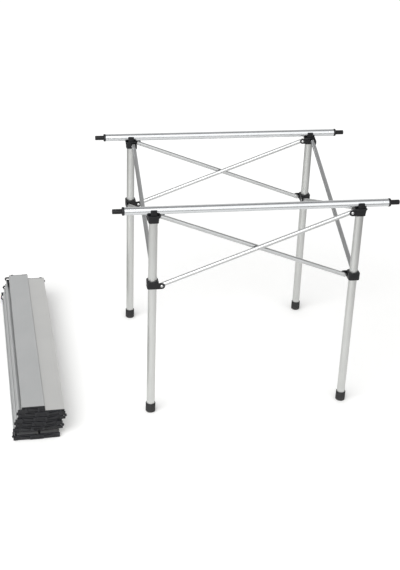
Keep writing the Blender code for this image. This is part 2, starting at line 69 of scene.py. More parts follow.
# Studio floor. A matt white paper sheet that runs on past the edge of the picture. Its colour greys
# away from the table: painted shade that stands in for light falling off, and keeps the sides of
# upright tubes dark. For the camera it is lifted back to paper white, but less close under the
# object, where ambient occlusion paints the shade deeper, so that the shadow keeps its depth.
floor_radius = 14.0
floor_below = 0.0002
white_middle = (0.05, -0.20, 0.0)
white_radius = 0.60
painted_falloff_radius = 1.9
shadow_reach = 0.09
shadow_depth = 1.3
lift_in_white = 0.29
lift_in_grey = 0.84
lift_in_mirrors = 0.06


def linear(hex_colour):
    # An sRGB hex colour as the linear values that a shader takes.
    shares = [int(hex_colour[i:i + 2], 16) / 255 for i in (1, 3, 5)]
    return [c / 12.92 if c <= 0.04045 else ((c + 0.055) / 1.055) ** 2.4 for c in shares] + [1.0]


def add(tree, kind, settings=None, links=None):
    # One node, with its settings and with what feeds its sockets.
    made = tree.nodes.new("ShaderNode" + kind)
    for name, value in (settings or {}).items():
        if isinstance(name, int) or name in made.inputs:
            made.inputs[name].default_value = value
        else:
            setattr(made, name, value)
    for name, source in (links or {}).items():
        tree.links.new(source, made.inputs[name])
    return made


floor_paint = bpy.data.materials.new("matt white studio paper")
floor_paint.use_nodes = True
tree = floor_paint.node_tree
shader = tree.nodes["Principled BSDF"]
shader.inputs["Roughness"].default_value = 0.95
shader.inputs["Specular IOR Level"].default_value = 0.0
shader.inputs["Emission Color"].default_value = linear("#FFFFFF")
place = add(tree, "TexCoord")
away = add(tree, "VectorMath", {"operation": "DISTANCE", 1: white_middle}, {0: place.outputs["Object"]})
# Painted shade: the paper darkens with distance from the table, in place of light falling off.
painted_falloff = add(tree, "MapRange", {"From Min": white_radius, "From Max": painted_falloff_radius,
                                 "interpolation_type": "SMOOTHSTEP"}, {"Value": away.outputs["Value"]})
sheet = add(tree, "Mix", {"data_type": "RGBA", 6: linear("#EDEDEC"), 7: linear("#A0A09F")},
            {0: painted_falloff.outputs[0]})
tree.links.new(sheet.outputs[2], shader.inputs["Base Color"])
# Painted shade close under the object: ambient occlusion cuts the camera's lift there.
open_floor = add(tree, "AmbientOcclusion", {"Distance": shadow_reach, "samples": 8})
kept = add(tree, "Math", {"operation": "POWER", 1: shadow_depth}, {0: open_floor.outputs["AO"]})
needed = add(tree, "MapRange", {"To Min": lift_in_white, "To Max": lift_in_grey},
             {"Value": painted_falloff.outputs[0]})
white = add(tree, "Math", {"operation": "MULTIPLY"}, {0: kept.outputs[0], 1: needed.outputs[0]})
rays = add(tree, "LightPath")
seen = add(tree, "Math", {"operation": "MULTIPLY"}, {0: rays.outputs["Is Camera Ray"], 1: white.outputs[0]})
lift = add(tree, "Math", {"operation": "MULTIPLY_ADD", 1: lift_in_mirrors},
           {0: rays.outputs["Is Glossy Ray"], 2: seen.outputs[0]})
tree.links.new(lift.outputs[0], shader.inputs["Emission Strength"])

bm = bmesh.new()
bmesh.ops.create_circle(bm, cap_ends=True, segments=96, radius=floor_radius)
floor_mesh = bpy.data.meshes.new("studio_floor")
bm.to_mesh(floor_mesh)
bm.free()
floor_mesh.materials.append(floor_paint)
floor = bpy.data.objects.new("studio_floor", floor_mesh)
floor.location.z = -floor_below
bpy.context.scene.collection.objects.link(floor)

# Studio light. One large soft lamp at the front left throws the shadows to the right and back. A
# wide white screen fills the front of the room. The ceiling and the sides are darker, which draws
# the dark bands along round tubes, and the far wall is mid grey.
key_size = 3.6
key_watts = 92.0
key_place = Vector((-1.95, -1.9, 2.3))
key_target = Vector((0.0, 0.0, 0.25))
ceiling_level = 0.26
screen_level = 1.05
far_wall_level = 0.40
screen = Vector((-0.10, -0.88, 0.42)).normalized()
far_wall = Vector((0.10, 0.95, 0.28)).normalized()

key_data = bpy.data.lights.new("key_softbox", "AREA")
key_data.shape = "RECTANGLE"
key_data.size = key_size
key_data.size_y = key_size
key_data.energy = key_watts
key = bpy.data.objects.new("key_softbox", key_data)
key.location = key_place
key.rotation_euler = (key_target - key_place).to_track_quat("-Z", "Y").to_euler()
bpy.context.scene.collection.objects.link(key)

room = bpy.data.worlds.new("white studio room")
bpy.context.scene.world = room
room.use_nodes = True
tree = room.node_tree
background = tree.nodes["Background"]
look = add(tree, "TexCoord")
panels = []
for direction, edge, full, panel_level in ((screen, 0.42, 0.86, screen_level),
                                           (far_wall, 0.55, 0.92, far_wall_level)):
    facing = add(tree, "VectorMath", {"operation": "DOT_PRODUCT", 1: direction},
                 {0: look.outputs["Generated"]})
    panel = add(tree, "MapRange", {"From Min": edge, "From Max": full, "To Min": 0.0, "To Max": panel_level,
                                   "interpolation_type": "SMOOTHSTEP"}, {"Value": facing.outputs["Value"]})
    panels.append(panel.outputs["Result"])
both = add(tree, "Math", {"operation": "ADD"}, {0: panels[0], 1: panels[1]})
spread = add(tree, "Math", {"operation": "ADD", 1: ceiling_level}, {0: both.outputs[0]})
rays = add(tree, "LightPath")
level = add(tree, "Mix", {"data_type": "FLOAT", 3: 1.0},
            {0: rays.outputs["Is Camera Ray"], 2: spread.outputs[0]})
background.inputs["Color"].default_value = linear("#FFFFFF")
tree.links.new(level.outputs[0], background.inputs["Strength"])

bpy.context.scene.view_settings.view_transform = "Standard"

# Legs. Four lengths of 21 mm drawn aluminium tube with a 1.2 mm wall, sawn square, deburred
# and satin anodised. Each stands in a rubber foot and carries a moulded bracket on top.
MM = 0.001
CORNERS = ("front_left", "front_right", "back_right", "back_left")
leg_wall = 1.2 * MM
deburred = 0.25 * MM


def anodised(name, dark, light, line_width, line_length, along, roughness, cloud_size=0.07):
    # Drawn, extruded or rolled aluminium with a clear anodised skin: a grey metal whose tool lines
    # run lengthwise, with faint clouds from the bath. The lines are drawn wider than the real
    # 0.05 mm ones, or they would not show.
    mat = bpy.data.materials.new(name)
    mat.use_nodes = True
    tree = mat.node_tree
    shader = tree.nodes["Principled BSDF"]
    shader.inputs["Metallic"].default_value = 1.0
    place = add(tree, "TexCoord")
    stretch = [1 / line_width] * 3
    stretch[along] = 1 / line_length
    runs = add(tree, "Mapping", {"Scale": stretch}, {"Vector": place.outputs["Object"]})
    lines = add(tree, "TexNoise", {"Scale": 1.0, "Detail": 4.0, "Roughness": 0.65},
                {"Vector": runs.outputs[0]})
    clouds = add(tree, "TexNoise", {"Scale": 1 / cloud_size, "Detail": 3.0, "Roughness": 0.55},
                 {"Vector": place.outputs["Object"]})
    blend = add(tree, "Math", {"operation": "MULTIPLY", 1: 0.45}, {0: lines.outputs[0]})
    mixed = add(tree, "Math", {"operation": "MULTIPLY_ADD", 1: 0.55},
                {0: clouds.outputs[0], 2: blend.outputs[0]})
    share = add(tree, "MapRange", {"From Min": 0.35, "From Max": 0.65}, {"Value": mixed.outputs[0]})
    tint = add(tree, "Mix", {"data_type": "RGBA", 6: linear(dark), 7: linear(light)},
               {0: share.outputs[0]})
    tree.links.new(tint.outputs[2], shader.inputs["Base Color"])
    rough = add(tree, "MapRange", {"From Min": 0.3, "From Max": 0.7, "To Min": roughness - 0.05,
                                   "To Max": roughness + 0.05}, {"Value": lines.outputs[0]})
    tree.links.new(rough.outputs[0], shader.inputs["Roughness"])
    bump = add(tree, "Bump", {"Strength": 0.08, "Distance": 0.02 * MM}, {"Height": lines.outputs[0]})
    tree.links.new(bump.outputs[0], shader.inputs["Normal"])
    return mat


def arc(centre_r, centre_z, radius, start, end, steps=4):
    # Points on an arc in a profile, from one angle to another in degrees.
    turns = [math.radians(start + (end - start) * i / steps) for i in range(steps + 1)]
    return [(centre_r + radius * math.cos(a), centre_z + radius * math.sin(a)) for a in turns]


def turned(profile, steps=48, ring=False):
    # Spins a profile of (radius, height) about Z. A ring profile is closed on itself.
    bm = bmesh.new()
    knots = [bm.verts.new((max(r, 0.0), 0, z)) for r, z in profile]
    pairs = list(zip(knots, knots[1:] + knots[:1])) if ring else list(zip(knots, knots[1:]))
    edges = [bm.edges.new(pair) for pair in pairs]
    bmesh.ops.spin(bm, geom=knots + edges, cent=(0, 0, 0), axis=(0, 0, 1), angle=2 * math.pi,
                   steps=steps, use_merge=True)
    bmesh.ops.remove_doubles(bm, verts=bm.verts, dist=1e-7)
    bmesh.ops.recalc_face_normals(bm, faces=bm.faces)
    return bm


def tube(radius, wall, low, high, steps=48):
    # A tube along Z with its sawn edges broken.
    inner = radius - wall
    b = deburred
    return turned([(radius - b, low), (radius, low + b), (radius, high - b), (radius - b, high),
                   (inner + b, high), (inner, high - b), (inner, low + b), (inner + b, low)],
                  steps, ring=True)


def show(name, bm, material, body, place=None, stands_for=(), sharp=35):
    # Makes the piece, puts it in place and lets it ride on its body.
    mesh = bpy.data.meshes.new(name)
    bm.to_mesh(mesh)
    bm.free()
    mesh.materials.append(material)
    mesh.shade_smooth()
    mesh.set_sharp_from_angle(angle=math.radians(sharp))
    piece = bpy.data.objects.new(name, mesh)
    bpy.context.scene.collection.objects.link(piece)
    if place is not None:
        piece.matrix_world = place
    bpy.context.view_layer.update()
    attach(piece, body)
    if stands_for:
        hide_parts(*stands_for)
    return piece


leg_finish = anodised("satin anodised drawn aluminium", "#D6D7D5", "#DEDFDD", 1.4 * MM, 90 * MM, 2, 0.36)
leg_axis = {}
for corner in CORNERS:
    low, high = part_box("leg_tube_" + corner)
    leg_radius = (high.x - low.x) / 2
    leg_axis[corner] = Vector(((low.x + high.x) / 2, (low.y + high.y) / 2, 0))
    show(corner + "_leg", tube(leg_radius, leg_wall, low.z, high.z), leg_finish, corner + "_leg",
         Matrix.Translation(leg_axis[corner]), ["leg_tube_" + corner])

# Feet. A moulded black rubber ferrule is pushed over the lower end of each leg. It has a rounded
# tread edge, a ringed sole that grips, and two grip rings near its lip.
tread_edge = 2.6 * MM
sole_ring = 0.7 * MM
foot_fit = 0.15 * MM
foot_lip = 1.0 * MM
pocket_floor = 5.0 * MM
grip_ring_down = 5 * MM
grip_ring_apart = 2.2 * MM
grip_ring_half = 0.7 * MM
grip_ring_deep = 0.45 * MM


def rubber_ferrule():
    # Moulded rubber is near black and dull. Dust and scuffs lighten it towards the tread.
    mat = bpy.data.materials.new("moulded black rubber")
    mat.use_nodes = True
    tree = mat.node_tree
    shader = tree.nodes["Principled BSDF"]
    shader.inputs["IOR"].default_value = 1.52
    place = add(tree, "TexCoord")
    grain = add(tree, "TexNoise", {"Scale": 1 / (0.5 * MM), "Detail": 3.0},
                {"Vector": place.outputs["Object"]})
    scuffs = add(tree, "TexNoise", {"Scale": 1 / (6 * MM), "Detail": 4.0, "Roughness": 0.7},
                 {"Vector": place.outputs["Object"]})
    height = add(tree, "SeparateXYZ", {}, {0: place.outputs["Object"]})
    low_down = add(tree, "MapRange", {"From Min": 0.0, "From Max": 9 * MM, "To Min": 0.5, "To Max": 0.0},
                   {"Value": height.outputs["Z"]})
    dust = add(tree, "Math", {"operation": "MULTIPLY"}, {0: low_down.outputs[0], 1: scuffs.outputs[0]})
    tint = add(tree, "Mix", {"data_type": "RGBA", 6: linear("#232324"), 7: linear("#5A5854")},
               {0: dust.outputs[0]})
    tree.links.new(tint.outputs[2], shader.inputs["Base Color"])
    rough = add(tree, "MapRange", {"From Min": 0.3, "From Max": 0.7, "To Min": 0.58, "To Max": 0.78},
                {"Value": scuffs.outputs[0]})
    tree.links.new(rough.outputs[0], shader.inputs["Roughness"])
    bump = add(tree, "Bump", {"Strength": 0.4, "Distance": 0.05 * MM}, {"Height": grain.outputs[0]})
    tree.links.new(bump.outputs[0], shader.inputs["Normal"])
    return mat


foot_finish = rubber_ferrule()
for corner in CORNERS:
    low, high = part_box("rubber_foot_" + corner)
    r = (high.x - low.x) / 2
    top = high.z
    inside = leg_radius + foot_fit
    ring_z = top - grip_ring_down
    profile = [(0, sole_ring), (4 * MM, sole_ring), (4.6 * MM, 0), (6.4 * MM, 0), (7 * MM, sole_ring),
               (8 * MM, sole_ring), (8.6 * MM, 0)]
    profile += arc(r - tread_edge, tread_edge, tread_edge, -90, 0, 5)
    for z in (ring_z - grip_ring_apart, ring_z):
        profile += [(r, z - grip_ring_half), (r - grip_ring_deep, z - grip_ring_half / 2),
                    (r - grip_ring_deep, z + grip_ring_half / 2), (r, z + grip_ring_half)]
    profile += arc(r - foot_lip, top - foot_lip, foot_lip, 0, 90, 3)
    profile += [(inside + 0.4 * MM, top), (inside, top - 0.4 * MM), (inside, pocket_floor), (0, pocket_floor)]
    show(corner + "_foot", turned(profile), foot_finish, corner + "_leg",
         Matrix.Translation(leg_axis[corner]), ["rubber_foot_" + corner])

# Corner brackets. One glass-filled nylon moulding caps each leg: a tapered socket, a flange, two
# tabs and a saddle that cradle the rail, an inner lug for one brace and an outer lug for another.
pivot = {joint["name"]: Vector(joint["pos_m"]) for joint in frame["joints"] if "pos_m" in joint}
bracket_pivot_z = pivot["frame_fold"].z
lug_reach = pivot["frame_fold"].x - leg_axis["front_left"].x
brace_offset = pivot["frame_fold"].y - leg_axis["front_left"].y
brace_radius = 5.5 * MM
fit = 0.3 * MM
lug_inside = brace_offset + brace_radius + fit
lug_thick = 2.2 * MM
lug_outside = lug_inside + lug_thick
outer_lug_radius = 8.1 * MM
inner_lug_radius = 7.4 * MM
rivet_radius = 1.6 * MM
shank_radius = rivet_radius - 0.05 * MM
rivet_head = 3.5 * MM
rail_low, rail_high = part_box("rail_front")
rail_radius = (rail_high.z - rail_low.z) / 2
rail_axis_z = (rail_high.z + rail_low.z) / 2
cradle_z = rail_low.z - fit
flange_half = 15.0 * MM
flange_thick = 3.0 * MM
flange_corner = 4 * MM
socket_half = 12.3 * MM
socket_drop = 9.5 * MM
socket_corner = 5 * MM
socket_spread = 1.15
rim_height = 2.4 * MM
rim_proud = 0.4 * MM
tab_width = 15.6 * MM
tab_thick = 2.4 * MM
tab_corner = 2.4 * MM
tab_above_axis = 4.8 * MM
saddle_inset = 0.8 * MM
saddle_high = 4 * MM
mould_edge = 0.7 * MM
weld_distance = 4e-6


def moulded_nylon(name, base, worn, grain_size=0.45 * MM):
    # Glass-filled nylon from a spark-eroded mould: charcoal black with an even fine grain, a soft
    # broad shine that the grain dulls, so the specular level is low, and edges that rub a little
    # paler. The grain is twice its real size, to show.
    mat = bpy.data.materials.new(name)
    mat.use_nodes = True
    tree = mat.node_tree
    shader = tree.nodes["Principled BSDF"]
    shader.inputs["IOR"].default_value = 1.53
    shader.inputs["Specular IOR Level"].default_value = 0.32
    place = add(tree, "TexCoord")
    grain = add(tree, "TexNoise", {"Scale": 1 / grain_size, "Detail": 2.0},
                {"Vector": place.outputs["Object"]})
    flow = add(tree, "TexNoise", {"Scale": 1 / (9 * MM), "Detail": 3.0, "Roughness": 0.6},
               {"Vector": place.outputs["Object"]})
    shape = add(tree, "NewGeometry")
    edge = add(tree, "MapRange", {"From Min": 0.52, "From Max": 0.62, "To Min": 0.0, "To Max": 0.6},
               {"Value": shape.outputs["Pointiness"]})
    rubbed = add(tree, "Math", {"operation": "MULTIPLY_ADD", 1: 0.30},
                 {0: flow.outputs[0], 2: edge.outputs[0]})
    tint = add(tree, "Mix", {"data_type": "RGBA", 6: linear(base), 7: linear(worn)}, {0: rubbed.outputs[0]})
    tree.links.new(tint.outputs[2], shader.inputs["Base Color"])
    rough = add(tree, "MapRange", {"From Min": 0.3, "From Max": 0.7, "To Min": 0.30, "To Max": 0.44},
                {"Value": flow.outputs[0]})
    tree.links.new(rough.outputs[0], shader.inputs["Roughness"])
    bump = add(tree, "Bump", {"Strength": 0.35, "Distance": 0.04 * MM}, {"Height": grain.outputs[0]})
    tree.links.new(bump.outputs[0], shader.inputs["Normal"])
    return mat


def plated_rivet():
    # Bright zinc-plated steel: a pale, slightly blue metal, polished by the setting tool.
    mat = bpy.data.materials.new("bright zinc plated steel")
    mat.use_nodes = True
    tree = mat.node_tree
    shader = tree.nodes["Principled BSDF"]
    shader.inputs["Metallic"].default_value = 1.0
    place = add(tree, "TexCoord")
    marks = add(tree, "TexNoise", {"Scale": 1 / (0.8 * MM), "Detail": 4.0, "Roughness": 0.7},
                {"Vector": place.outputs["Object"]})
    tint = add(tree, "Mix", {"data_type": "RGBA", 6: linear("#CFD0D2"), 7: linear("#F0F0EF")},
               {0: marks.outputs[0]})
    tree.links.new(tint.outputs[2], shader.inputs["Base Color"])
    rough = add(tree, "MapRange", {"From Min": 0.3, "From Max": 0.7, "To Min": 0.22, "To Max": 0.36},
                {"Value": marks.outputs[0]})
    tree.links.new(rough.outputs[0], shader.inputs["Roughness"])
    bump = add(tree, "Bump", {"Strength": 0.2, "Distance": 0.03 * MM}, {"Height": marks.outputs[0]})
    tree.links.new(bump.outputs[0], shader.inputs["Normal"])
    return mat


def rounded(x0, x1, y0, y1, radius, steps=4):
    # Outline of a rectangle with round corners.
    return (arc(x1 - radius, y0 + radius, radius, -90, 0, steps)
            + arc(x1 - radius, y1 - radius, radius, 0, 90, steps)
            + arc(x0 + radius, y1 - radius, radius, 90, 180, steps)
            + arc(x0 + radius, y0 + radius, radius, 180, 270, steps))


def square(half, radius, steps=4):
    # Outline of a square with round corners, round the axis of a leg.
    return rounded(-half, half, -half, half, radius, steps)


def block(outline, low, high, soft=mould_edge, soft_low=None, steps=2):
    # A solid from an outline in X and Y, with its upper and lower edges rounded over.
    soft_low = soft if soft_low is None else soft_low
    middle = sum((Vector((x, y)) for x, y in outline), Vector((0, 0))) / len(outline)
    levels = [(low + soft_low * (1 - math.cos(a)), soft_low * (1 - math.sin(a)))
              for a in (math.pi / 2 * i / steps for i in range(steps + 1))]
    levels += [(high - soft * (1 - math.cos(a)), soft * (1 - math.sin(a)))
               for a in (math.pi / 2 * (steps - i) / steps for i in range(steps + 1))]
    bm = bmesh.new()
    rings = []
    count = len(outline)
    for z, inset in levels:
        ring = []
        for i, (x, y) in enumerate(outline):
            before = Vector(outline[i - 1])
            after = Vector(outline[(i + 1) % count])
            here = Vector((x, y))
            ahead = (after - here).normalized() + (here - before).normalized()
            inward = Vector((-ahead.y, ahead.x)).normalized()
            ring.append(bm.verts.new((*(here + inward * inset), z)))
        rings.append(ring)
    for lower, upper in zip(rings, rings[1:]):
        for i in range(count):
            j = (i + 1) % count
            bm.faces.new((lower[i], lower[j], upper[j], upper[i]))
    bm.faces.new(list(reversed(rings[0])))
    bm.faces.new(rings[-1])
    bmesh.ops.remove_doubles(bm, verts=bm.verts, dist=1e-7)
    bmesh.ops.recalc_face_normals(bm, faces=bm.faces)
    return bm


def laid(bm, matrix):
    # Moves a mesh, and keeps its faces outward where the move mirrors it.
    bm.transform(matrix)
    if matrix.determinant() < 0:
        bmesh.ops.reverse_faces(bm, faces=bm.faces)
    return bm


# Stands a block up: its outline's X and Y become X and Z, and its height runs along -Y.
UPRIGHT = Matrix.Rotation(math.radians(90), 4, "X")
# Lays along X what was made along Z.
ALONG_X = Matrix.Rotation(math.radians(90), 4, "Y")
# Swaps X and Y, so that what lies beside +X comes to lie beside +Y.
SWAP = Matrix(((0, 1, 0, 0), (1, 0, 0, 0), (0, 0, 1, 0), (0, 0, 0, 1)))
MIRROR_Y = Matrix.Scale(-1, 4, (0, 1, 0))


def joined(solids, cuts=()):
    # Joins solids into one closed piece, takes the cutters out of it and welds near points.
    made = []
    for bm in list(solids) + list(cuts):
        mesh = bpy.data.meshes.new("stock")
        bm.to_mesh(mesh)
        bm.free()
        ob = bpy.data.objects.new("stock", mesh)
        bpy.context.scene.collection.objects.link(ob)
        made.append(ob)
    target = made[0]
    for i, helper in enumerate(made[1:], 1):
        modifier = target.modifiers.new("join", "BOOLEAN")
        modifier.operation = "UNION" if i < len(solids) else "DIFFERENCE"
        modifier.solver = "EXACT"
        modifier.object = helper
    bpy.context.view_layer.update()
    graph = bpy.context.evaluated_depsgraph_get()
    mesh = bpy.data.meshes.new_from_object(target.evaluated_get(graph))
    bm = bmesh.new()
    bm.from_mesh(mesh)
    bpy.data.meshes.remove(mesh)
    for ob in made:
        stock = ob.data
        bpy.data.objects.remove(ob, do_unlink=True)
        bpy.data.meshes.remove(stock)
    bmesh.ops.remove_doubles(bm, verts=bm.verts, dist=weld_distance)
    return bm


def drilled(radius, low, high, steps=32):
    # A plain cutter along Z.
    return turned([(0, low), (radius, low), (radius, high), (0, high)], steps)


def lug_solids(pivot_z, radius, root=4 * MM):
    # A lug plate on the outer side beside +X, with a low rim round its rivet.
    outline = [(root, pivot_z - radius)] + arc(lug_reach, pivot_z, radius, -90, 90, 16)
    outline += [(root, pivot_z + radius)]
    plate = laid(block(outline, lug_inside, lug_outside), UPRIGHT)
    rim = turned([(rivet_head + 0.5 * MM, -0.5 * MM), (radius - 1.6 * MM, -0.5 * MM),
                  (radius - 1.6 * MM, 0.2 * MM), (radius - 1.9 * MM, 0.5 * MM),
                  (rivet_head + 0.8 * MM, 0.5 * MM), (rivet_head + 0.5 * MM, 0.2 * MM)], 32, ring=True)
    rim.transform(Matrix.Translation((lug_reach, -lug_outside, pivot_z)) @ UPRIGHT)
    return [plate, rim]


def lug_hole(pivot_z):
    # The cutter for the rivet's hole through a lug.
    hole = drilled(rivet_radius, lug_inside - 1 * MM, lug_outside + 1 * MM, 20)
    return laid(hole, Matrix.Translation((lug_reach, 0, pivot_z)) @ UPRIGHT)


def rivet_dome(seat):
    # Profile of a rivet's low dome on its seat, from the middle out.
    return [(0, seat + 1.2 * MM), (1.2 * MM, seat + 1.12 * MM), (2.3 * MM, seat + 0.85 * MM),
            (3.1 * MM, seat + 0.45 * MM), (rivet_head, seat)]


def lug_rivet(pivot_z):
    # A semi-tubular rivet: a low dome outside the lug, and a rolled tail inside the brace.
    seat = lug_outside + 0.05 * MM
    tail = brace_offset - brace_radius - 0.3 * MM
    shank = shank_radius
    profile = rivet_dome(seat)
    profile += [(shank, seat), (shank, tail + 0.25 * MM), (shank + 0.7 * MM, tail + 0.1 * MM),
                (shank + 0.6 * MM, tail - 0.2 * MM), (shank - 0.4 * MM, tail), (0, tail + 0.6 * MM)]
    return laid(turned(profile, 24), Matrix.Translation((lug_reach, 0, pivot_z)) @ UPRIGHT)


nylon = moulded_nylon("glass-filled black nylon", "#0D0D0F", "#292A2D")
rivet_finish = plated_rivet()
beside_x_inside = MIRROR_Y
beside_y_outside = SWAP
beside_y_inside = SWAP @ MIRROR_Y
corner_turn = {}
for k, corner in enumerate(CORNERS):
    corner_turn[corner] = Matrix.Translation(leg_axis[corner]) @ Matrix.Rotation(math.radians(90 * k), 4, "Z")
    low = bracket_pivot_z - socket_drop
    flange_low = cradle_z - flange_thick
    socket = block(square(socket_half, socket_corner), low, cradle_z - flange_thick / 3)
    for vert in socket.verts:
        share = max(0.0, (vert.co.z - low - 2 * MM) / (flange_low - low - 2 * MM))
        scale = 1 + (socket_spread - 1) * min(share, 1.0)
        vert.co.x *= scale
        vert.co.y *= scale
    rim = block(square(socket_half + rim_proud, socket_corner + 0.2 * MM), low, low + rim_height, 0.5 * MM)
    flange = block(square(flange_half, flange_corner), flange_low, cradle_z)
    clear = rail_radius + fit
    tab_shape = rounded(-tab_width / 2, tab_width / 2, cradle_z - 2 * MM, rail_axis_z + tab_above_axis,
                        tab_corner)
    tabs = [laid(block(tab_shape, near, far), UPRIGHT)
            for near, far in ((clear, clear + tab_thick), (-clear - tab_thick, -clear))]
    saddle_shape = rounded(-tab_width / 2 + saddle_inset, tab_width / 2 - saddle_inset, cradle_z - 1.5 * MM,
                           cradle_z + saddle_high, 0.8 * MM, 1)
    saddle = laid(block(saddle_shape, -clear - 0.5 * MM, clear + 0.5 * MM, 0.2 * MM), UPRIGHT)
    groove = drilled(clear, -30 * MM, 30 * MM, 64)
    groove.transform(Matrix.Translation((0, 0, rail_axis_z)) @ ALONG_X)
    cradle = tabs + [joined([saddle], [groove])]
    if k % 2:
        cradle = [laid(solid, Matrix.Rotation(math.radians(90), 4, "Z")) for solid in cradle]
    falling = [laid(solid, beside_x_inside) for solid in lug_solids(bracket_pivot_z, inner_lug_radius)]
    rising = [laid(solid, beside_y_outside) for solid in lug_solids(bracket_pivot_z, outer_lug_radius)]
    bore = drilled(leg_radius + 0.1 * MM, low - 1 * MM, flange_low)
    holes = [laid(lug_hole(bracket_pivot_z), side) for side in (beside_x_inside, beside_y_outside)]
    bracket = joined([socket, rim, flange] + cradle + falling + rising, [bore] + holes)
    show(corner + "_bracket", bracket, nylon, corner + "_leg", corner_turn[corner],
         ["corner_bracket_" + corner])
    for name, side in (("inner", beside_x_inside), ("outer", beside_y_outside)):
        show("%s_bracket_%s_rivet" % (corner, name), laid(lug_rivet(bracket_pivot_z), side), rivet_finish,
             corner + "_leg", corner_turn[corner])

# Sliding collars. A square nylon moulding with round corners slides on each leg and carries the
# lower ends of two braces, one on an outer lug and one on an inner lug.
slider_pivot_z = pivot["front_left_slider_pivot"].z
collar_low, collar_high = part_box("sliding_collar_front_left")
collar_half = lug_outside + 0.25 * MM
collar_corner = 6 * MM
collar_edge = 1.1 * MM
band_proud = 0.2 * MM
band_bottom_down = 4 * MM
band_top_down = 1.6 * MM
slide = leg_radius + 0.2 * MM
lead_in = leg_radius + 1.0 * MM
for corner in CORNERS:
    low, high = collar_low.z, collar_high.z
    body = block(square(collar_half, collar_corner, 5), low, high, collar_edge)
    band = block(square(collar_half + band_proud, collar_corner, 5), high - band_bottom_down,
                 high - band_top_down, 0.3 * MM)
    rising = lug_solids(slider_pivot_z, outer_lug_radius)
    falling = [laid(solid, beside_y_inside) for solid in lug_solids(slider_pivot_z, outer_lug_radius)]
    bore = turned([(0, low - 1 * MM), (lead_in, low - 1 * MM), (slide, low + 0.6 * MM),
                   (slide, high - 0.6 * MM), (lead_in, high + 1 * MM), (0, high + 1 * MM)])
    holes = [lug_hole(slider_pivot_z), laid(lug_hole(slider_pivot_z), beside_y_inside)]
    collar = joined([body, band] + rising + falling, [bore] + holes)
    show(corner + "_collar", collar, nylon, corner + "_slider", corner_turn[corner],
         ["sliding_collar_" + corner])
    for name, side in (("outer", Matrix.Identity(4)), ("inner", beside_y_inside)):
        show("%s_collar_%s_rivet" % (corner, name), laid(lug_rivet(slider_pivot_z), side), rivet_finish,
             corner + "_slider", corner_turn[corner])

# Braces. Eight lengths of 11 mm drawn aluminium tube cross in pairs, one pair on each side. Each is
# drilled for three rivets and anodised brighter than the legs.
SIDES = ("front", "right", "back", "left")
brace_wall = 0.9 * MM
brace_past = 4.2 * MM
drill_reach = 6 * MM
cross_z = (bracket_pivot_z + slider_pivot_z) / 2
leg_spacing = leg_axis["front_right"].x - leg_axis["front_left"].x
brace_run = leg_spacing - 2 * lug_reach
brace_rise = bracket_pivot_z - slider_pivot_z
brace_length = math.hypot(brace_run, brace_rise)
brace_slope = math.atan2(brace_rise, brace_run)
frame_middle = (leg_axis["front_left"] + leg_axis["back_right"]) / 2
brace_finish = anodised("bright anodised drawn aluminium", "#CECFCF", "#D9DADA", 0.9 * MM, 60 * MM, 0, 0.33)
for k, side in enumerate(SIDES):
    turn = Matrix.Translation(frame_middle) @ Matrix.Rotation(math.radians(90 * k), 4, "Z")
    for name, sign in (("falling", 1), ("rising", -1)):
        end = brace_length / 2 + brace_past
        stock = laid(tube(brace_radius, brace_wall, -end, end, 32), ALONG_X)
        holes = []
        for x in (-brace_length / 2, 0, brace_length / 2):
            hole = drilled(rivet_radius, -drill_reach, drill_reach, 20)
            holes.append(laid(hole, Matrix.Translation((x, 0, 0)) @ UPRIGHT))
        place = (turn @ Matrix.Translation((0, -leg_spacing / 2 + sign * brace_offset, cross_z))
                 @ Matrix.Rotation(sign * brace_slope, 4, "Y"))
        show("%s_%s_tube" % (side, name), joined([stock], holes), brace_finish, "%s_%s_brace" % (side, name),
             place, ["%s_brace_%s" % (name, side)])

# Crossing rivets. A plated rivet holds each pair where the tubes cross, through a thin black
# nylon washer that keeps them apart.
washer_radius = 5.2 * MM
for k, side in enumerate(SIDES):
    body = "%s_%s_brace" % (side, "falling" if side in ("front", "right") else "rising")
    place = (Matrix.Translation(frame_middle) @ Matrix.Rotation(math.radians(90 * k), 4, "Z")
             @ Matrix.Translation((0, -leg_spacing / 2, cross_z)) @ UPRIGHT)
    seat = brace_offset + brace_radius + 0.15 * MM
    dome = rivet_dome(seat)
    profile = [(r, -z) for r, z in dome] + [(shank_radius, -seat), (shank_radius, seat)] + dome[::-1]
    show(side + "_crossing_rivet", turned(profile, 24), rivet_finish, body, place,
         ["crossing_rivet_" + side])
    half = brace_offset - brace_radius - 0.2 * MM
    washer = turned([(rivet_radius, -half), (washer_radius, -half), (washer_radius, half),
                     (rivet_radius, half)], 32, ring=True)
    show(side + "_crossing_washer", washer, nylon, body, place)

# Rails. Two lengths of 19 mm extruded tube lie in the cradles, one pair of brackets each, and the
# top hooks over them. The tube is rolled in a shallow ring near each end to hold its plug.
rail_wall = 1.2 * MM
crimp_in = 14 * MM
crimp_half = 0.9 * MM
crimp_deep = 0.35 * MM
rail_finish = anodised("bright anodised extruded aluminium", "#E0E2E4", "#E6E8EA", 1.0 * MM, 200 * MM, 2,
                       0.24)
for name in ("front", "back"):
    low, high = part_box("rail_" + name)
    half = (high.x - low.x) / 2
    middle = (low + high) / 2
    r = rail_radius
    inner = r - rail_wall
    b = deburred
    outer = [(r - b, -half), (r, -half + b)]
    for z in (-half + crimp_in, half - crimp_in):
        outer += [(r, z - crimp_half - b), (r, z - crimp_half), (r - crimp_deep, z - crimp_half / 3),
                  (r - crimp_deep, z + crimp_half / 3), (r, z + crimp_half), (r, z + crimp_half + b)]
    outer += [(r, half - b), (r - b, half)]
    profile = outer + [(inner + b, half), (inner, half - b), (inner, -half + b), (inner + b, -half)]
    show(name + "_rail_tube", turned(profile, 64, ring=True), rail_finish, name + "_rail",
         Matrix.Translation(middle) @ ALONG_X, ["rail_" + name])

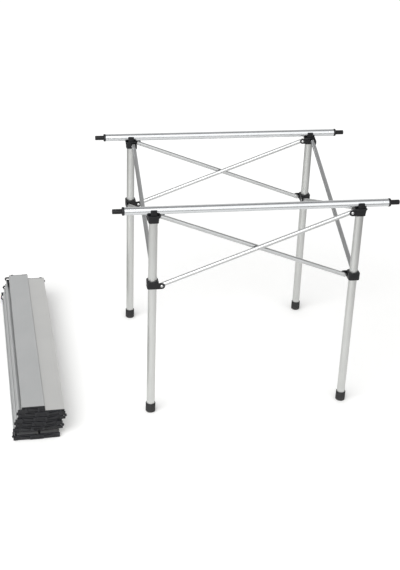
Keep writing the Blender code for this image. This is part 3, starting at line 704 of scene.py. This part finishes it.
# Rail plugs. A black nylon plug closes each rail end. Its sleeve is pressed into the tube, its
# flange covers the sawn edge, and its ribbed pin holds the edge of the top.
plug_flange = 5.0 * MM
plug_flange_radius = 10.2 * MM
plug_sleeve = 16 * MM
plug_edge = 1.0 * MM
pin_radius = 6.1 * MM
pin_length = 23 * MM
pin_ribs = 8
dimple_deep = 2 * MM
for name in ("front", "back"):
    for hand, sign in (("left", -1), ("right", 1)):
        low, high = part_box("rail_plug_%s_%s" % (name, hand))
        middle = (low + high) / 2
        tip = high.x if sign > 0 else low.x
        face = tip - sign * pin_length
        sleeve = rail_radius - rail_wall - 0.1 * MM
        sleeve_end = -plug_flange - plug_sleeve
        b = plug_edge
        profile = [(0, sleeve_end), (sleeve - b, sleeve_end), (sleeve, sleeve_end + b)]
        profile += [(sleeve, -plug_flange), (plug_flange_radius - 0.3 * MM, -plug_flange),
                    (plug_flange_radius, -plug_flange + 0.3 * MM)]
        profile += arc(plug_flange_radius - b, -b, b, 0, 90, 3)
        profile += [(pin_radius + 0.8 * MM, 0), (pin_radius - 0.3 * MM, 1.2 * MM), (0, 1.2 * MM)]
        flange = turned(profile, 48)
        # One rib and the hollow after it, as shares of their turn and of the pin's radius.
        ribbed = []
        for i in range(pin_ribs):
            for share, radius in ((0.0, 1.0), (0.28, 1.0), (0.42, 0.86), (0.86, 0.86)):
                angle = 2 * math.pi * (i + share) / pin_ribs
                ribbed.append((pin_radius * radius * math.cos(angle), pin_radius * radius * math.sin(angle)))
        pin = block(ribbed, -1 * MM, pin_length, 1.1 * MM, 0.0, 3)
        dimple = turned([(0, pin_length - dimple_deep), (2.2 * MM, pin_length - dimple_deep),
                         (2.6 * MM, pin_length + 1 * MM), (0, pin_length + 1 * MM)], 24)
        place = (Matrix.Translation((face, middle.y, rail_axis_z))
                 @ Matrix.Rotation(math.radians(90 * sign), 4, "Y"))
        show("%s_rail_%s_plug" % (name, hand), joined([flange, pin], [dimple]), nylon, name + "_rail",
             place, ["rail_plug_%s_%s" % (name, hand)])

# Slats. The top is eleven boxes, 55.6 x 13.5 mm, roll-formed from satin anodised 0.9 mm aluminium
# strip, with an open seam in the face that is the table's underside. Five pairs lie zigzag on each
# other with a single slat on top.
LEAVES = ("leaf_1", "leaf_2", "leaf_3", "leaf_4", "leaf_5", "single")
slat_width = 55.6 * MM
slat_gap = 1.6 * MM
slat_thick = 13.5 * MM
slat_wall = 0.9 * MM
slat_corner = 2.2 * MM
seam_from = 3.2 * MM
seam_to = 8.4 * MM
seam_lip = 4.6 * MM
seam_bend = 0.4 * MM
leaf_length = 725 * MM
cap_thick = 3.0 * MM
folded_turn = Matrix.Rotation(math.radians(1.9), 4, "Z")
slat_length = leaf_length - 2 * (cap_thick + fit)
strip_lines = (1.6 * MM, 350 * MM, 1)
darker = anodised("satin anodised rolled strip, darker batch", "#D6D8D8", "#DEDFDF", *strip_lines, 0.38, 0.11)
paler = anodised("satin anodised rolled strip, paler batch", "#E6E6E4", "#ECECEA", *strip_lines, 0.38, 0.11)
slat_finish = {"": darker, "_left": darker, "_right": paler}


def box_section():
    # One slat along Y, its middle on the origin. The strip's edges turn in as lips on both sides of
    # the seam. Each outline of the box starts at its upper left corner, beside the seam.
    half_w, half_t = slat_width / 2, slat_thick / 2
    w = slat_wall
    steps = 5
    outer = rounded(-half_w, half_w, -half_t, half_t, slat_corner, steps)
    inner = rounded(-half_w + w, half_w - w, -half_t + w, half_t - w, slat_corner - w, steps)
    start = 2 * (steps + 1)
    outer = outer[start:] + outer[:start]
    inner = inner[start:] + inner[:start]
    near, far = -half_w + seam_from, -half_w + seam_to
    bend, lip = half_t - seam_bend, half_t - seam_lip
    outline = [(near - seam_bend, half_t)] + outer
    outline += [(far + seam_bend, half_t), (far, bend), (far, lip), (far + w, lip), (far + w, half_t - w)]
    outline += inner[::-1]
    outline += [(near - w, half_t - w), (near - w, lip), (near, lip), (near, bend)]
    bm = bmesh.new()
    ends = [[bm.verts.new((x, y * slat_length, z)) for x, z in outline] for y in (-0.5, 0.5)]
    count = len(outline)
    for i in range(count):
        j = (i + 1) % count
        bm.faces.new((ends[0][i], ends[0][j], ends[1][j], ends[1][i]))
    bm.faces.new(ends[0])
    bm.faces.new(list(reversed(ends[1])))
    bmesh.ops.recalc_face_normals(bm, faces=bm.faces)
    return bm


slat_middle = {}
for level, leaf in enumerate(LEAVES):
    turned_over = Matrix.Rotation(math.radians(180 * (level % 2)), 4, "Y")
    for hand in (("",) if leaf == "single" else ("_left", "_right")):
        name = leaf + hand
        low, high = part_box("slat_" + name)
        slat_middle[name] = (low + high) / 2
        body = "leaf_single" if leaf == "single" else leaf
        show(name + "_slat", box_section(), slat_finish[hand], body,
             Matrix.Translation(slat_middle[name]) @ folded_turn @ turned_over, ["slat_" + name])

# End caps. A black nylon moulding closes both slats of a leaf and holds them together by a middle
# knuckle. Eyes and pins at its edges make the hinges to the leaves below and above.
bridge_width = 34 * MM
bridge_height = 11.5 * MM
bridge_proud = 2.8 * MM
slot_half_width = 0.8 * MM
slot_half_height = 3.6 * MM
slot_deep = 2.4 * MM
plug_depth = 12 * MM
plug_fit = 0.1 * MM
lip_clear = 0.13 * MM
plate_edge = 1.3 * MM
eye_thick = 2.4 * MM
hinge_pin_radius = 1.5 * MM
first_forward = 16 * MM
# For each end, the eyes' radius, the lower edge of the inner arm and the upper edge of the outer
# one. The far end's arms are the slimmer ones.
hinge_arms = {"front": (3.4 * MM, 2.5 * MM, slat_thick - 1.4 * MM),
              "back": (2.5 * MM, slat_thick - 6 * MM, 5.3 * MM)}
cap_nylon = moulded_nylon("black nylon, end caps", "#111113", "#34353A")


def bar(x0, x1, y0, y1, z0, z1, soft=0.5 * MM):
    # A block between those corners, with soft edges all round.
    outline = rounded(min(x0, x1), max(x0, x1), z0, z1, min(soft, abs(x1 - x0) / 3, (z1 - z0) / 3), 2)
    return laid(block(outline, -max(y0, y1), -min(y0, y1), soft), UPRIGHT)


def disc(x, y0, y1, z, radius, steps=24, soft=0.4 * MM):
    # A round block along Y, with soft edges.
    outline = arc(x, z, radius, 0, 360 - 360 / steps, steps - 1)
    return laid(block(outline, -max(y0, y1), -min(y0, y1), soft), UPRIGHT)


def hinge_at(joint, stand):
    # A hinge's axis as a leaf that stands there sees it, as x and z.
    spot = stand.inverted() @ pivot[joint]
    return spot.x, spot.z


for level, leaf in enumerate(LEAVES):
    single = leaf == "single"
    body = "leaf_single" if single else leaf
    hands = ("",) if single else ("_left", "_right")
    middle = sum((slat_middle[leaf + hand] for hand in hands), Vector()) / len(hands)
    stand = Matrix.Translation((middle.x, middle.y, middle.z - slat_thick / 2)) @ folded_turn
    half = slat_width / 2 if single else slat_width + slat_gap / 2
    lefts = [-half] if single else [-half, slat_gap / 2]
    for end_name, sign in (("front", -1), ("back", 1)):
        eye_radius, inner_arm_low, outer_arm_high = hinge_arms[end_name]
        solids = []
        cuts = []

        # Each slat gets a face plate and a plug, which is notched for the lips of the seam.
        for x0 in lefts:
            x1 = x0 + slat_width
            plate = rounded(x0, x1, 0, slat_thick, slat_corner, 5)
            solids.append(laid(block(plate, -cap_thick, 0, plate_edge, 0.1 * MM), UPRIGHT))
            w = slat_wall + plug_fit
            plug = rounded(x0 + w, x1 - w, w, slat_thick - w, slat_corner - slat_wall, 3)
            solids.append(laid(block(plug, -cap_thick - plug_depth, -cap_thick / 2, 0.1 * MM, 0.8 * MM),
                               UPRIGHT))
            if level % 2:
                notch = (x1 - seam_to - w, x1 - seam_from + w)
                floor_z, roof_z = -1 * MM, seam_lip + lip_clear
            else:
                notch = (x0 + seam_from - w, x0 + seam_to + w)
                floor_z, roof_z = slat_thick - seam_lip - lip_clear, slat_thick + 1 * MM
            cuts.append(bar(*notch, cap_thick + 0.25 * MM, cap_thick + plug_depth + 1 * MM, floor_z, roof_z,
                            0.1 * MM))

        # The knuckle over the pair's gap, or at the single slat's edge, has two slots to flex.
        z_mid = slat_thick / 2
        gap_x = half if single else 0.0
        knuckle_end = gap_x - 1.0 * MM if single else gap_x + bridge_width / 2
        solids.append(bar(gap_x - bridge_width / 2, knuckle_end, -bridge_proud, cap_thick - 0.5 * MM,
                          z_mid - bridge_height / 2, z_mid + bridge_height / 2, 0.9 * MM))
        for x in ((gap_x - 11 * MM, gap_x - 5 * MM) if single else (gap_x - 9 * MM, gap_x + 9 * MM)):
            cuts.append(bar(x - slot_half_width, x + slot_half_width, -bridge_proud - 1 * MM,
                            -bridge_proud + slot_deep, z_mid - slot_half_height, z_mid + slot_half_height,
                            0.2 * MM))

        # A raised rib on each half slopes down towards the knuckle.
        for side in ((-1,) if single else (-1, 1)):
            near = gap_x + side * (bridge_width / 2 - 1 * MM)
            far = gap_x + side * (slat_width - 15 * MM)
            rib = [(far, 6.4 * MM), (near, 2.2 * MM), (near, 7.4 * MM), (far, 11.6 * MM)]
            if side > 0:
                rib = rib[::-1]
            solids.append(laid(block(rib, -0.5 * MM, 2.3 * MM, 0.6 * MM, 0.0), UPRIGHT))

        if not single:
            # Eye for the leaf above, in the layer next to the cap's face.
            x, z = hinge_at("top_unfold" if level == 0 else "leaf_hinge_%d" % (level + 1), stand)
            inward = 1 if x < 0 else -1
            edge = -inward * half
            solids.append(disc(x, -fit - eye_thick, -fit, z, eye_radius))
            solids.append(bar(x, edge + inward * 6.5 * MM, 0.1 * MM - eye_thick, -fit - 0.1 * MM,
                              inner_arm_low, slat_thick - 2.7 * MM, 0.3 * MM))
            solids.append(bar(edge + inward * 0.6 * MM, edge + inward * 7 * MM, -eye_thick, 1.1 * MM,
                              2.4 * MM, slat_thick - 2.6 * MM, 0.3 * MM))
            cuts.append(laid(drilled(hinge_pin_radius + 0.1 * MM, -10 * MM, 10 * MM, 20),
                             Matrix.Translation((x, 0, z)) @ UPRIGHT))
        if level == 1:
            # The lowest leaf is shifted along, so a long pin reaches its eye.
            x, z = hinge_at("top_unfold", stand)
            far = first_forward + 2 * eye_thick
            y0, y1 = (-far, 0) if sign < 0 else (-eye_thick, far - eye_thick)
            solids.append(disc(x, y0, y1, z, hinge_pin_radius, 20, 0.2 * MM))
            solids.append(bar(-half + 0.4 * MM, -half + 9 * MM, -eye_thick, 1.0 * MM, 0.4 * MM,
                              slat_thick - 2 * MM))
            solids.append(bar(x, -half + 8.4 * MM, 0.1 * MM - eye_thick, -0.1 * MM, 0.55 * MM,
                              slat_thick - 2.2 * MM))
        elif level > 1:
            # Eye and pin one layer further out, stepped over the eye of the leaf below.
            x, z = hinge_at("leaf_hinge_%d" % level, stand)
            inward = 1 if x < -half / 2 else -1
            edge = -inward * half
            y_in = -2 * fit - eye_thick
            y_out = y_in - eye_thick
            solids.append(disc(x, y_out, y_in, z, eye_radius))
            solids.append(bar(edge + inward * 6.2 * MM, edge + inward * 13 * MM, y_out + 0.2 * MM, 0.9 * MM,
                              2 * MM, slat_thick - 1 * MM, 0.7 * MM))
            solids.append(bar(x, edge + inward * 11.5 * MM, y_out + 0.35 * MM, y_in - 0.25 * MM, z + 0.6 * MM,
                              outer_arm_high))
            solids.append(disc(x, y_out + 0.55 * MM, 0.15 * MM, z, hinge_pin_radius, 20, 0.2 * MM))
        cap = joined(solids, cuts)
        if sign > 0:
            laid(cap, MIRROR_Y)
        place = stand @ Matrix.Translation((0, sign * leaf_length / 2, 0))
        show("%s_%s_cap" % (leaf, end_name), cap, cap_nylon, body, place,
             ["end_cap_%s_%s" % (leaf, end_name)])

bpy.context.view_layer.update()
